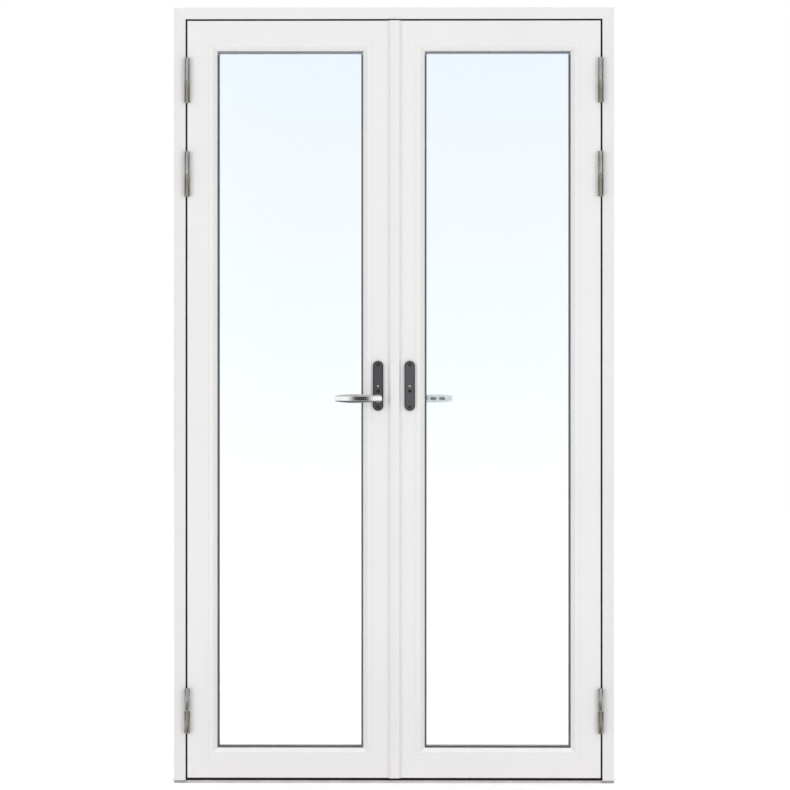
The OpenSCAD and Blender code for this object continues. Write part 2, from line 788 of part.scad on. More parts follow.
// A round-ended hollow in the back of the grip
module lever_pocket() {
    half = (pocket_len - pocket_h) / 2;
    rotate([90, 0, 0]) translate([0, 0, -lever_t]) linear_extrude(lever_t) {
        translate([-half, -pocket_h / 2]) square([2 * half, pocket_h]);
        for (end_share = [-1, 1]) translate([end_share * half, 0]) circle(d = pocket_h);
    }
}

// A square bar that starts at the local origin and runs inwards
module spindle_bar(len, half_side) {
    translate([-half_side, 0, -half_side]) cube([2 * half_side, len, 2 * half_side]);
}

module at_outer_handle(right) {
    on_side(right) translate([lever_x, face_y, lever_z]) children();
}

module at_inner_handle(right) {
    on_side(right) translate([lever_x, leaf_in_y, lever_z]) mirror([0, 1, 0]) children();
}

module spindle(right, through) {
    socket = lever_reach / 2 + lever_t - spindle_short - soft_clear;
    y0 = through ? face_y - socket : face_y + spindle_short;
    color(zinc) on_side(right) translate([lever_x, y0, lever_z])
        spindle_bar(leaf_in_y + socket - y0, spindle_side / 2);
}

// Lock: case, pinion and the two rods with their racks

module lock_case(right) {
    color(zinc) on_side(right) translate([lever_x, lock_y, lever_z]) difference() {
        union() {
            translate([case_x0, -case_t / 2, -case_h / 2]) cube([case_x1 - case_x0, case_t, case_h]);
            translate([case_x1, -edge_plate_w / 2, -edge_plate_h / 2])
                cube([edge_plate_t, edge_plate_w, edge_plate_h]);
        }
        translate([case_x0 + case_wall, case_wall - case_t / 2, case_wall - case_h / 2])
            cube([case_x1 - case_x0 - 2 * case_wall, case_t - 2 * case_wall, case_h - 2 * case_wall]);
        hole_y(-case_t, case_t, hub_r + turn_clear);
        translate([rod_off, 0, 0]) cylinder(h = case_h, r = rod_r + rod_clear);
        translate([-rod_off, 0, -case_h]) cylinder(h = case_h, r = rod_r + rod_clear);
    }
}

function involute(angle) = tan(angle) * 180 / PI - angle;
function tooth_half_angle(r) = tooth_t / (2 * pitch_r) * 180 / PI + involute(pressure_angle)
    - involute(acos(min(1, base_r / max(r, base_r))));
function on_circle(r, angle) = [r * cos(angle), r * sin(angle)];
flank_radii = concat([pinion_root_r], [for (i = [0 : flank_steps])
    base_r + (pinion_tip_r - base_r) * i / flank_steps]);
function tooth_points(middle) = concat(
    [for (r = flank_radii) on_circle(r, middle - tooth_half_angle(r))],
    [for (i = [len(flank_radii) - 1 : -1 : 0])
        on_circle(flank_radii[i], middle + tooth_half_angle(flank_radii[i]))]);

module pinion(right) {
    color(zinc) on_side(right) translate([lever_x, lock_y, lever_z]) difference() {
        union() {
            translate([0, rack_t / 2, 0]) rotate([90, 0, 0]) linear_extrude(rack_t)
                polygon([for (i = [0 : pinion_teeth - 1]) each tooth_points(i * 360 / pinion_teeth)]);
            hole_y(-case_t / 2, case_t / 2, hub_r);
        }
        translate([0, -case_t, 0]) spindle_bar(2 * case_t, spindle_side / 2 + spindle_room);
    }
}

// Rack teeth point to -X from the pitch line, with more of them below the pinion than above
module rack() {
    back = rack_teeth_back;
    ahead = rack_teeth_ahead;
    half_t = tooth_t / 2;
    slope = tan(pressure_angle);
    translate([0, rack_t / 2, 0]) rotate([90, 0, 0]) linear_extrude(rack_t) {
        translate([rack_face, -(back + 1) * tooth_pitch])
            square([rack_back, (back + ahead + 2) * tooth_pitch]);
        for (i = [-back - 1 : ahead]) translate([pitch_r, (i + 1 / 2) * tooth_pitch]) polygon([
            [-rack_addendum, -half_t + rack_addendum * slope],
            [rack_dedendum + overrun, -half_t - (rack_dedendum + overrun) * slope],
            [rack_dedendum + overrun, half_t + (rack_dedendum + overrun) * slope],
            [-rack_addendum, half_t - rack_addendum * slope]
        ]);
    }
}

module rod(len) {
    rotate_extrude() polygon([
        [0, 0], [rod_r, 0], [rod_r, len - bolt_nose], [rod_r - bolt_nose, len], [0, len]
    ]);
}

module upper_rod(right) {
    color(zinc) on_side(right) translate([lever_x, lock_y, lever_z]) {
        rack();
        translate([rod_off, 0, tooth_pitch]) rod(leaf_z1 - bolt_in - lever_z - tooth_pitch);
    }
}

module lower_rod(right) {
    color(zinc) on_side(right) translate([lever_x, lock_y, lever_z]) rotate([0, 180, 0]) {
        rack();
        translate([rod_off, 0, tooth_pitch]) rod(lever_z - leaf_z0 - bolt_in - tooth_pitch);
    }
}

jamb(false);  // left_jamb
jamb(true);  // right_jamb
head();
threshold();
jamb_cover(false);  // left_jamb_cover
jamb_cover(true);  // right_jamb_cover
head_cover();
weatherstrip();
frame_hinges(false);  // left_frame_hinges
frame_hinges(true);  // right_frame_hinges
hinge_pins();
head_keeps();
hinge_stile(false);  // left_hinge_stile
meeting_stile(false);  // left_meeting_stile
rail(false, true);  // left_top_rail
rail(false, false);  // left_bottom_rail
leaf_cover(false, "hinge");  // left_hinge_cover
bored_cover(false);  // left_meeting_cover
leaf_cover(false, "top");  // left_top_cover
leaf_cover(false, "bottom");  // left_bottom_cover
pane(false, outer_pane_v);  // left_outer_pane
pane(false, inner_pane_v);  // left_inner_pane
spacer_bar(false);  // left_spacer_bar
glazing_gasket(false);  // left_glazing_gasket
glazing_beads(false);  // left_glazing_beads
leaf_hinges(false);  // left_leaf_hinges
at_outer_handle(false) handle_plate(true);  // left_outer_plate
at_inner_handle(false) handle_plate(true);  // left_inner_plate
lock_case(false);  // left_lock_case
at_inner_handle(false) lever();  // left_inner_lever
spindle(false, true);  // left_spindle
pinion(false);  // left_pinion
upper_rod(false);  // left_upper_rod
lower_rod(false);  // left_lower_rod
at_outer_handle(false) lever();  // left_outer_lever
meeting_strip(false, strip_left, strip_left_chamfer);  // left_meeting_strip
meeting_seal();
hinge_stile(true);  // right_hinge_stile
meeting_stile(true);  // right_meeting_stile
rail(true, true);  // right_top_rail
rail(true, false);  // right_bottom_rail
leaf_cover(true, "hinge");  // right_hinge_cover
leaf_cover(true, "meeting");  // right_meeting_cover
leaf_cover(true, "top");  // right_top_cover
leaf_cover(true, "bottom");  // right_bottom_cover
pane(true, outer_pane_v);  // right_outer_pane
pane(true, inner_pane_v);  // right_inner_pane
spacer_bar(true);  // right_spacer_bar
glazing_gasket(true);  // right_glazing_gasket
glazing_beads(true);  // right_glazing_beads
leaf_hinges(true);  // right_leaf_hinges
at_outer_handle(true) handle_plate(false);  // right_outer_plate
at_inner_handle(true) handle_plate(true);  // right_inner_plate
lock_case(true);  // right_lock_case
at_inner_handle(true) lever();  // right_inner_lever
spindle(true, false);  // right_spindle
pinion(true);  // right_pinion
upper_rod(true);  // right_upper_rod
lower_rod(true);  // right_lower_rod
meeting_strip(true, strip_right, strip_right_chamfer);  // right_meeting_strip
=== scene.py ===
import math
import bmesh
import bpy
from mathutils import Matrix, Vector


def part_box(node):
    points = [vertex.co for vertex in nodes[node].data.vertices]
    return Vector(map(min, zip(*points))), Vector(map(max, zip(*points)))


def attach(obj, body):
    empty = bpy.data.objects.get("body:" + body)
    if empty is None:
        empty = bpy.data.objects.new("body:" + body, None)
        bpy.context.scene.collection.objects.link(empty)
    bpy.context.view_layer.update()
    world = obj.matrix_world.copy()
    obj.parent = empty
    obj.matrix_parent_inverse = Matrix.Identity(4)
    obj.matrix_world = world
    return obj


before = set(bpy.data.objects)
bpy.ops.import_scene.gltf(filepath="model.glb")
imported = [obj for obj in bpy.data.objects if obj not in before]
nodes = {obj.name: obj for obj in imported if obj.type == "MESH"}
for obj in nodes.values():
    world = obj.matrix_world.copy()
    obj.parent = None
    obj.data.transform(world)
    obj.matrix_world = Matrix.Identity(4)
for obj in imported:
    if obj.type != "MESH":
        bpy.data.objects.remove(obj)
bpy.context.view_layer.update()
print("french doors loaded,", len(nodes), "nodes")

sides = ("left", "right")
inward = {"left": 1, "right": -1}  # along x, from each jamb to the middle


# picking and shaping, as by hand

upFacing = 0.99   # a normal that points up
upperPart = 0.9   # share of a height from which a corner counts as upper
sameHeight = 0.0001
smoothAngle = 35  # sharper edges stay sharp in the shading


def clearPick():
    if bpy.context.mode != "OBJECT":
        bpy.ops.object.mode_set(mode="OBJECT")
    bpy.ops.object.select_all(action="DESELECT")


def openEdit(piece):
    clearPick()
    bpy.context.view_layer.objects.active = piece
    piece.select_set(True)
    bpy.ops.object.mode_set(mode="EDIT")
    bpy.ops.mesh.select_all(action="DESELECT")


def pickFaces(piece, wanted):
    bpy.ops.mesh.select_mode(type="FACE")
    shape = bmesh.from_edit_mesh(piece.data)
    shape.normal_update()
    for face in shape.faces:
        face.select_set(wanted(face.calc_center_median(), face.normal))
    bmesh.update_edit_mesh(piece.data)


def pickEdges(piece, wanted):
    bpy.ops.mesh.select_mode(type="EDGE")
    shape = bmesh.from_edit_mesh(piece.data)
    for face in shape.faces:
        face.select_set(False)
    for edge in shape.edges:
        edge.select_set(wanted(edge.verts[0].co, edge.verts[1].co))
    bmesh.update_edit_mesh(piece.data)


def pickCorners(piece, wanted):
    bpy.ops.mesh.select_mode(type="VERT")
    shape = bmesh.from_edit_mesh(piece.data)
    for face in shape.faces:
        face.select_set(False)
    for corner in shape.verts:
        corner.select_set(wanted(corner.co))
    bmesh.update_edit_mesh(piece.data)


def pull(height):
    bpy.ops.mesh.extrude_region_move(TRANSFORM_OT_translate={"value": (0, 0, height)})


def closeEdit(piece, name):
    bpy.ops.mesh.select_all(action="SELECT")
    bpy.ops.mesh.normals_make_consistent(inside=False)
    bpy.ops.object.mode_set(mode="OBJECT")
    piece.name = name
    bpy.ops.object.shade_smooth_by_angle(angle=math.radians(smoothAngle))
    return piece


def turnTo(direction):
    return Vector(direction).to_track_quat("Z", "Y").to_euler()


# sets copies of one modelled piece on their spots and joins them into one piece of a body
def setCopies(master, spots, name, body, finish):
    copies = []
    for place, direction in spots:
        clearPick()
        bpy.context.view_layer.objects.active = master
        master.select_set(True)
        bpy.ops.object.duplicate(linked=False)
        copy = bpy.context.active_object
        copy.location = place
        copy.rotation_euler = turnTo(direction)
        copies.append(copy)
    clearPick()
    for copy in copies:
        copy.select_set(True)
    bpy.context.view_layer.objects.active = copies[0]
    if len(copies) > 1:
        bpy.ops.object.join()
    piece = bpy.context.active_object
    bpy.ops.object.transform_apply(location=True, rotation=True, scale=True)
    bpy.context.scene.cursor.location = (0, 0, 0)
    bpy.ops.object.origin_set(type="ORIGIN_CURSOR")
    piece.name = name
    piece.data.name = name
    if finish:
        piece.data.materials.clear()
        piece.data.materials.append(finish)
    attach(piece, body)
    clearPick()


def dropMaster(master):
    bpy.data.objects.remove(master, do_unlink=True)


# node building for the finishes

def startFinish(name):
    finish = bpy.data.materials.new(name)
    finish.use_nodes = True
    tree = finish.node_tree
    return finish, tree, tree.nodes["Principled BSDF"]


def addNode(tree, kind, **settings):
    node = tree.nodes.new(kind)
    for key, value in settings.items():
        if key in node.inputs:
            node.inputs[key].default_value = value
        else:
            setattr(node, key, value)
    return node


# links a socket, or sets a plain number or colour
def plug(tree, value, socket):
    if isinstance(value, (int, float, tuple)):
        socket.default_value = value
    else:
        tree.links.new(value, socket)


def objectSpace(tree, stretch=(1, 1, 1)):
    place = addNode(tree, "ShaderNodeTexCoord")
    spread = addNode(tree, "ShaderNodeMapping", Scale=stretch)
    tree.links.new(place.outputs["Object"], spread.inputs["Vector"])
    return spread.outputs["Vector"]


def axisOf(tree, vector, axis):
    split = addNode(tree, "ShaderNodeSeparateXYZ")
    tree.links.new(vector, split.inputs["Vector"])
    return split.outputs[axis]


# how far the surface faces along an axis, from -1 to 1
def facingAlong(tree, axis):
    place = addNode(tree, "ShaderNodeTexCoord")
    return axisOf(tree, place.outputs["Normal"], axis)


def calculate(tree, operation, *values):
    total = addNode(tree, "ShaderNodeMath", operation=operation)
    for value, socket in zip(values, total.inputs):
        plug(tree, value, socket)
    return total.outputs["Value"]


def noise(tree, where, scale, detail=2.0, rough=0.5):
    cloud = addNode(tree, "ShaderNodeTexNoise", Scale=scale, Detail=detail, Roughness=rough)
    tree.links.new(where, cloud.inputs["Vector"])
    return cloud.outputs["Fac"]


def ramp(tree, value, stops):
    band = addNode(tree, "ShaderNodeValToRGB")
    while len(band.color_ramp.elements) < len(stops):
        band.color_ramp.elements.new(0.5)
    for element, (at, colour) in zip(band.color_ramp.elements, stops):
        element.position = at
        element.color = (*colour, 1)
    tree.links.new(value, band.inputs["Fac"])
    return band.outputs["Color"]


def spreadTo(tree, value, low, high, between=(0.0, 1.0), easing="LINEAR"):
    span = addNode(tree, "ShaderNodeMapRange", interpolation_type=easing)
    span.inputs["From Min"].default_value, span.inputs["From Max"].default_value = between
    plug(tree, low, span.inputs["To Min"])
    plug(tree, high, span.inputs["To Max"])
    tree.links.new(value, span.inputs["Value"])
    return span.outputs["Result"]


def multiply(tree, first, second):
    mix = addNode(tree, "ShaderNodeMix", data_type="RGBA", blend_type="MULTIPLY")
    mix.inputs["Factor"].default_value = 1.0
    tree.links.new(first, mix.inputs["A"])
    tree.links.new(second, mix.inputs["B"])
    return mix.outputs["Result"]


def mixBy(tree, kind, amount, first, second):
    mix = addNode(tree, "ShaderNodeMix", data_type=kind)
    tree.links.new(amount, mix.inputs["Factor"])
    plug(tree, first, mix.inputs["A"])
    plug(tree, second, mix.inputs["B"])
    return mix.outputs["Result"]


def scaleColour(tree, colour, amount):
    lift = addNode(tree, "ShaderNodeVectorMath", operation="SCALE")
    tree.links.new(colour, lift.inputs[0])
    tree.links.new(amount, lift.inputs["Scale"])
    return lift.outputs["Vector"]


def mixShaders(tree, amount, first, second):
    mix = addNode(tree, "ShaderNodeMixShader")
    tree.links.new(amount, mix.inputs["Fac"])
    tree.links.new(first.outputs[0], mix.inputs[1])
    tree.links.new(second.outputs[0], mix.inputs[2])
    return mix


# colour, and gloss that varies with the rubbed cloud
def dress(tree, shader, colour, rub, roughness):
    tree.links.new(colour, shader.inputs["Base Color"])
    tree.links.new(spreadTo(tree, rub, *roughness), shader.inputs["Roughness"])


def bump(tree, shader, height, depth):
    dent = addNode(tree, "ShaderNodeBump", Strength=1.0, Distance=depth)
    tree.links.new(height, dent.inputs["Height"])
    tree.links.new(dent.outputs["Normal"], shader.inputs["Normal"])
    return dent


# camera at the photograph's place: far off and square to the doors

cameraSpot = {
    "distance": 9.0,         # from the outer face
    "middle": (0.003, 1.0405),
    "pictureHeight": 2.118,  # what the picture spans at the outer face
    "turn": 0.6,             # degrees round the doors, to the right
    "reach": 100,
}


def setCamera(spot):
    lens = bpy.data.cameras.new("photoCamera")
    camera = bpy.data.objects.new("photoCamera", lens)
    bpy.context.scene.collection.objects.link(camera)
    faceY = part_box("head_cover")[0].y
    distance = spot["distance"]
    turn = math.radians(spot["turn"])
    x, z = spot["middle"]
    camera.location = (x + distance * math.sin(turn), faceY - distance * math.cos(turn), z)
    camera.rotation_euler = (math.pi / 2, 0, turn)
    lens.sensor_fit = "AUTO"
    lens.angle = 2 * math.atan(spot["pictureHeight"] / 2 / distance)
    lens.clip_end = spot["reach"]
    bpy.context.scene.camera = camera


setCamera(cameraSpot)
print("camera set")


# studio: white surround, pale floor, and soft lamps to both sides, before and behind the doors

studio = {
    "ambient": 0.40,
    "zenith": 2.6,  # how much brighter the surround is overhead
    "lamps": (  # place and power
        ((8.1, -10.3, 2.1), 325), ((-8.1, -10.3, 2.1), 290),
        ((8.1, 10.3, 2.1), 190), ((-8.1, 10.3, 2.1), 210),
    ),
    "lampSize": 4.0,
    "lampAim": (0, 0, 0.3),
    "throughGlass": 1.1,  # makes up for what the panes mirror
    "floorSize": 40,
    "floorColour": (0.86, 0.86, 0.86),
    "floorRoughness": 0.9,
    "floorGlow": 2.35,
    "floorLift": 0.2,     # share of the glow as the floor is seen
    "floorFill": 0.135,   # share of it that lights the doors' foot
    "floorFades": (3.0, 10.0),  # how far off the floor passes into the surround
}

# grey cards seen only in reflections: centre, size, which way they face, brightness, soft edges
studioCards = {
    "behindCamera": ((0.03, -10.2, 2.6), (4.04, 5.2), (0, 1, 0), 0.05, (0.347, 0.19)),
    "indoors": ((0, 10.2, 2.6), (5.8, 5.2), (0, -1, 0), 0.03, (0.38, 0.19)),
    "left": ((-5.0, -2.2, 1.2), (5.0, 6.0), (1, 0, 0), 0.04, (0.22, 0.2)),
    "right": ((5.0, -2.6, 1.2), (6.4, 6.0), (-1, 0, 0), 0.04, (0.22, 0.2)),
    "overhead": ((0, -2.3, 4.1), (6.0, 1.9), (0, 0.45, -1), 0.5, (0.3, 0.3)),
    "overheadIndoors": ((0, 2.3, 4.1), (6.0, 1.9), (0, -0.45, -1), 0.5, (0.3, 0.3)),
    "underfoot": ((0, -0.66, 0.004), (3.0, 0.72), (0, 0, 1), 0.16, (0.2, 0.15)),
    "underfootIndoors": ((0, 0.66, 0.004), (3.0, 0.72), (0, 0, 1), 0.16, (0.2, 0.15)),
    "ground": ((0, -3.1, 0.003), (8.0, 3.6), (0, 0, 1), 0.4, (0.3, 0.35)),
    "groundIndoors": ((0, 3.1, 0.003), (8.0, 3.6), (0, 0, 1), 0.4, (0.3, 0.35)),
}


# rays that see the studio straight, in metal or through the panes, and the last of these alone
def seenRays(tree):
    path = addNode(tree, "ShaderNodeLightPath")
    through = path.outputs["Is Transmission Ray"]
    mirrored = calculate(tree, "MAXIMUM", path.outputs["Is Camera Ray"], path.outputs["Is Glossy Ray"])
    return calculate(tree, "MAXIMUM", mirrored, through), through


def setSurround(setup):
    world = bpy.data.worlds.new("whiteStudio")
    bpy.context.scene.world = world
    world.use_nodes = True
    tree = world.node_tree
    back = tree.nodes["Background"]
    back.inputs["Color"].default_value = (1, 1, 1, 1)
    rise = axisOf(tree, addNode(tree, "ShaderNodeTexCoord").outputs["Generated"], "Z")
    ambient = spreadTo(tree, rise, setup["ambient"], setup["ambient"] * setup["zenith"])
    seen, through = seenRays(tree)
    level = spreadTo(tree, seen, ambient, 1.0)
    strength = calculate(tree, "MULTIPLY_ADD", through, setup["throughGlass"] - 1, level)
    tree.links.new(strength, back.inputs["Strength"])


def setLamps(setup):
    for place, power in setup["lamps"]:
        bpy.ops.object.light_add(type="AREA", location=place)
        lamp = bpy.context.active_object
        lamp.name = "softLamp"
        lamp.data.shape = "SQUARE"
        lamp.data.size = setup["lampSize"]
        lamp.data.energy = power
        aim = Vector(setup["lampAim"]) - Vector(place)
        lamp.rotation_euler = aim.to_track_quat("-Z", "Y").to_euler()
        lamp.visible_camera = False
        lamp.visible_glossy = False  # its square outline stays out of metal and panes
        lamp.visible_transmission = False


def setFloor(setup):
    clearPick()
    bpy.ops.mesh.primitive_plane_add(size=setup["floorSize"], location=(0, 0, 0))
    floor = bpy.context.active_object
    floor.name = "studioFloor"
    finish, tree, shader = startFinish("paleFloor")
    shader.inputs["Base Color"].default_value = (*setup["floorColour"], 1)
    shader.inputs["Roughness"].default_value = setup["floorRoughness"]
    seen = seenRays(tree)[0]
    lift = spreadTo(tree, seen, setup["floorFill"], setup["floorLift"])
    glow = addNode(tree, "ShaderNodeEmission", Strength=setup["floorGlow"])
    near = mixShaders(tree, lift, shader, glow)
    away = addNode(tree, "ShaderNodeVectorMath", operation="LENGTH")
    tree.links.new(objectSpace(tree), away.inputs[0])
    far = spreadTo(tree, away.outputs["Value"], 0.0, 1.0, setup["floorFades"], "SMOOTHSTEP")
    surround = addNode(tree, "ShaderNodeEmission", Strength=setup["throughGlass"])
    sweep = mixShaders(tree, calculate(tree, "MULTIPLY", seen, far), near, surround)
    tree.links.new(sweep.outputs[0], tree.nodes["Material Output"].inputs["Surface"])
    floor.data.materials.append(finish)


def setCard(name, place, size, facing, brightness, soft):
    clearPick()
    bpy.ops.mesh.primitive_plane_add(size=1, location=(0, 0, 0))
    card = bpy.context.active_object
    card.name = name + "Card"
    card.location = place
    card.rotation_euler = turnTo(facing)
    card.scale = (*size, 1)
    finish, tree, shader = startFinish(name + "Card")
    onCard = addNode(tree, "ShaderNodeTexCoord").outputs["Object"]
    covers = []
    for axis, fade in zip(("X", "Y"), soft):
        away = calculate(tree, "ABSOLUTE", axisOf(tree, onCard, axis))
        covers.append(spreadTo(tree, away, 0.0, 1.0, (0.5, 0.5 - fade), "SMOOTHSTEP"))
    clear = addNode(tree, "ShaderNodeBsdfTransparent")
    shade = addNode(tree, "ShaderNodeEmission", Strength=brightness)
    blend = mixShaders(tree, calculate(tree, "MULTIPLY", *covers), clear, shade)
    tree.links.new(blend.outputs[0], tree.nodes["Material Output"].inputs["Surface"])
    tree.nodes.remove(shader)
    card.data.materials.append(finish)
    card.visible_camera = False
    card.visible_diffuse = False
    card.visible_transmission = False
    card.visible_shadow = False


bpy.context.scene.view_settings.view_transform = "Standard"
setSurround(studio)
setLamps(studio)
setFloor(studio)
for cardName, card in studioCards.items():
    setCard(cardName, *card)
print("studio set")


# satin white powder coat on the aluminium covers
whiteCoat = {
    "colour": (0.80, 0.80, 0.795),
    "duller": (0.775, 0.775, 0.77),
    "cloudScale": 2.2,
    "footTint": (1.0, 0.982, 0.986),  # a little warmer and darker towards the ground
    "footHeight": 0.5,
    "jambShade": 0.965,          # painted shade: the jambs' covers are made a touch darker
    "paintedUpLight": 1.16,             # painted light: what faces up is made a touch brighter
    "upwardsFrom": (0.3, 0.55),
    "peelScale": 650,
    "peelDepth": 0.00006,
    "rubScale": 35,
    "roughness": (0.34, 0.46),
}


def makeWhiteCoat(look, name, shade):
    finish, tree, shader = startFinish(name)
    where = objectSpace(tree)
    cloud = noise(tree, where, look["cloudScale"], 4, 0.6)
    coatColour = ramp(tree, cloud, [(0.3, look["duller"]), (0.7, look["colour"])])
    height = calculate(tree, "DIVIDE", axisOf(tree, where, "Z"), look["footHeight"])
    footTint = [shade * part for part in look["footTint"]]
    foot = ramp(tree, height, [(0.0, footTint), (1.0, [shade] * 3)])
    # painted light: faces that point up get a brighter colour
    up = spreadTo(tree, facingAlong(tree, "Z"), 1.0, look["paintedUpLight"], look["upwardsFrom"])
    colour = scaleColour(tree, multiply(tree, coatColour, foot), up)
    dress(tree, shader, colour, noise(tree, where, look["rubScale"], 3), look["roughness"])
    bump(tree, shader, noise(tree, where, look["peelScale"], 2), look["peelDepth"])
    return finish


# white paint on pine, with the grain just showing through
paintedPine = {
    "colour": (0.80, 0.795, 0.775),
    "duller": (0.765, 0.758, 0.735),
    "cloudScale": 13,
    "grainScale": 364,
    "grainStretch": 0.035,
    "grainDepth": 0.00018,
    "roughness": (0.38, 0.52),
}


def makePaintedPine(look, name, alongX):
    finish, tree, shader = startFinish(name)
    stretch = look["grainStretch"]
    where = objectSpace(tree, (stretch, 1, 1) if alongX else (1, 1, stretch))
    cloud = noise(tree, where, look["cloudScale"], 5, 0.62)
    colour = ramp(tree, cloud, [(0.32, look["duller"]), (0.62, look["colour"])])
    grain = noise(tree, where, look["grainScale"], 4, 0.65)
    dress(tree, shader, colour, grain, look["roughness"])
    bump(tree, shader, grain, look["grainDepth"])
    return finish


# clear float glass, with a painted reflection: a breath of blue high up
clearGlass = {
    "low": (0.995, 1.0, 1.0),
    "high": (0.90, 0.94, 0.99),
    "between": (0.25, 1.95),  # heights of the clear and the blue end of the painted reflection
    "smearScale": 7,
    "roughness": (0.0, 0.012),
    "bend": 1.5,
}


def makeClearGlass(look):
    finish, tree, shader = startFinish("clearGlass")
    where = objectSpace(tree)
    # painted reflection: the colour turns blue towards the top
    rise = spreadTo(tree, axisOf(tree, where, "Z"), 0.0, 1.0, look["between"])
    paintedReflectionTint = ramp(tree, rise, [(0.0, look["low"]), (1.0, look["high"])])
    dress(tree, shader, paintedReflectionTint, noise(tree, where, look["smearScale"], 4), look["roughness"])
    shader.inputs["Transmission Weight"].default_value = 1.0
    shader.inputs["IOR"].default_value = look["bend"]
    return finish


# black rubber of the seals and the weatherstrip
sealRubber = {
    "colour": (0.014, 0.0095, 0.0087),
    "dusty": (0.025, 0.0175, 0.016),
    "roughness": (0.6, 0.85),
}

# dark grey rubber of the gaskets against the panes
paneRubber = {
    "colour": (0.12, 0.123, 0.129),
    "dusty": (0.165, 0.168, 0.176),
    "roughness": (0.5, 0.75),
    "paintedTopLight": 2.6,        # painted light: the bar along the top is made lighter
    "palerOver": 0.020,  # measured down from the gaskets' top
}

rubberGrain = {"cloudScale": 60, "scale": 1800, "depth": 0.00005, "shine": 0.2}


def makeRubber(look, name):
    finish, tree, shader = startFinish(name)
    where = objectSpace(tree)
    cloud = noise(tree, where, rubberGrain["cloudScale"], 5, 0.65)
    colour = ramp(tree, cloud, [(0.4, look["colour"]), (0.75, look["dusty"])])
    # painted light: the gaskets' top bar gets a lighter colour
    if "paintedTopLight" in look:
        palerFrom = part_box("left_glazing_gasket")[1].z - look["palerOver"]
        over = calculate(tree, "GREATER_THAN", axisOf(tree, where, "Z"), palerFrom)
        colour = scaleColour(tree, colour, spreadTo(tree, over, 1.0, look["paintedTopLight"]))
    dress(tree, shader, colour, cloud, look["roughness"])
    shader.inputs["Specular IOR Level"].default_value = rubberGrain["shine"]
    bump(tree, shader, noise(tree, where, rubberGrain["scale"], 2), rubberGrain["depth"])
    return finish


# polished chrome of the levers, with duller cast metal on the back that faces the leaf, and painted shade
# in the pockets of the back
leverChrome = {
    "colour": (0.92, 0.925, 0.93),
    "smudged": (0.86, 0.865, 0.87),
    "smudgeScale": 45,
    "roughness": (0.04, 0.11),
    "waveScale": 120,
    "waveDepth": 0.000003,
    "roundEdge": 0.0007,
    "cast": (0.94, 0.96, 0.90),
    "castPit": (0.74, 0.77, 0.71),
    "castScale": 160,
    "castRoughness": 0.3,
    "castFrom": (0.7, 0.95),  # how far a face has to point back
    # painted shade: the dark colour of the pockets' floors
    "pocket": (0.16, 0.165, 0.15),
    "pocketFrom": 0.0095,     # pocket floors lie nearer than this to the outermost face
    "pocketFade": 0.002,
}


# backwards is the way from the lever's face to the leaf, along y
def makeLeverChrome(look, name, backwards, faceY):
    finish, tree, shader = startFinish(name)
    where = objectSpace(tree)
    cloud = noise(tree, where, look["smudgeScale"], 4, 0.6)
    bright = ramp(tree, cloud, [(0.35, look["smudged"]), (0.6, look["colour"])])
    pits = noise(tree, where, look["castScale"], 4, 0.65)
    dull = ramp(tree, pits, [(0.36, look["castPit"]), (0.6, look["cast"])])
    # painted shade: the pockets' floors on the back are darkened
    pocketAt = faceY + backwards * look["pocketFrom"]
    pocketDeep = pocketAt - backwards * look["pocketFade"]
    sunk = spreadTo(tree, axisOf(tree, where, "Y"), 0.0, 1.0, (pocketAt, pocketDeep))
    cast = mixBy(tree, "RGBA", sunk, dull, (*look["pocket"], 1))
    castFrom = [backwards * share for share in look["castFrom"]]
    back = spreadTo(tree, facingAlong(tree, "Y"), 0.0, 1.0, castFrom)
    tree.links.new(mixBy(tree, "RGBA", back, bright, cast), shader.inputs["Base Color"])
    polish = spreadTo(tree, cloud, *look["roughness"])
    gloss = mixBy(tree, "FLOAT", back, polish, look["castRoughness"])
    tree.links.new(gloss, shader.inputs["Roughness"])
    shader.inputs["Metallic"].default_value = 1.0
    dent = bump(tree, shader, noise(tree, where, look["waveScale"], 2), look["waveDepth"])
    rounded = addNode(tree, "ShaderNodeBevel", samples=8, Radius=look["roundEdge"])
    tree.links.new(rounded.outputs["Normal"], dent.inputs["Normal"])
    return finish


# anthracite paint of the handle plates, with a fine metallic fleck
anthracite = {
    "colour": (0.060, 0.058, 0.066),
    "fleck": (0.12, 0.118, 0.13),
    "fleckScale": 2600,
    "rim": (0.42, 0.42, 0.42),  # painted shade: how much darker the bevel is made
    "rimFrom": (0.86, 0.98),
    "rightPaintedLight": 1.34,         # painted light: the right leaf's plates are made lighter
    "cloudScale": 70,
    "roughness": (0.42, 0.56),
    "shine": 0.24,
    "grainDepth": 0.00005,
}


def makeAnthracite(look, name, shade):
    finish, tree, shader = startFinish(name)
    where = objectSpace(tree)
    speck = noise(tree, where, look["fleckScale"], 2)
    paintColour = [shade * part for part in look["colour"]]
    paint = ramp(tree, speck, [(0.5, paintColour), (0.78, look["fleck"])])
    # painted shade: faces that turn away from the front, such as the bevel, are darkened
    flat = calculate(tree, "ABSOLUTE", facingAlong(tree, "Y"))
    sloped, level = look["rimFrom"]
    rim = ramp(tree, flat, [(sloped, look["rim"]), (level, (1, 1, 1))])
    rub = noise(tree, where, look["cloudScale"], 3)
    dress(tree, shader, multiply(tree, paint, rim), rub, look["roughness"])
    shader.inputs["Specular IOR Level"].default_value = look["shine"]
    bump(tree, shader, speck, look["grainDepth"])
    return finish


# zinc plating of hinges, screws and lock, cool on the leaves and warmer on the frame
zincCool = {"colour": (0.50, 0.51, 0.485), "stain": (0.34, 0.35, 0.335), "roughness": (0.16, 0.28)}
zincWarm = {"colour": (0.37, 0.352, 0.30), "stain": (0.24, 0.226, 0.187), "roughness": (0.16, 0.3)}
zincBright = {"colour": (0.52, 0.52, 0.51), "stain": (0.42, 0.42, 0.40), "roughness": (0.2, 0.3)}
zincGrain = {"stretch": (1, 1, 0.12), "cloudScale": 190, "scale": 900, "depth": 0.00003, "metal": 0.9}


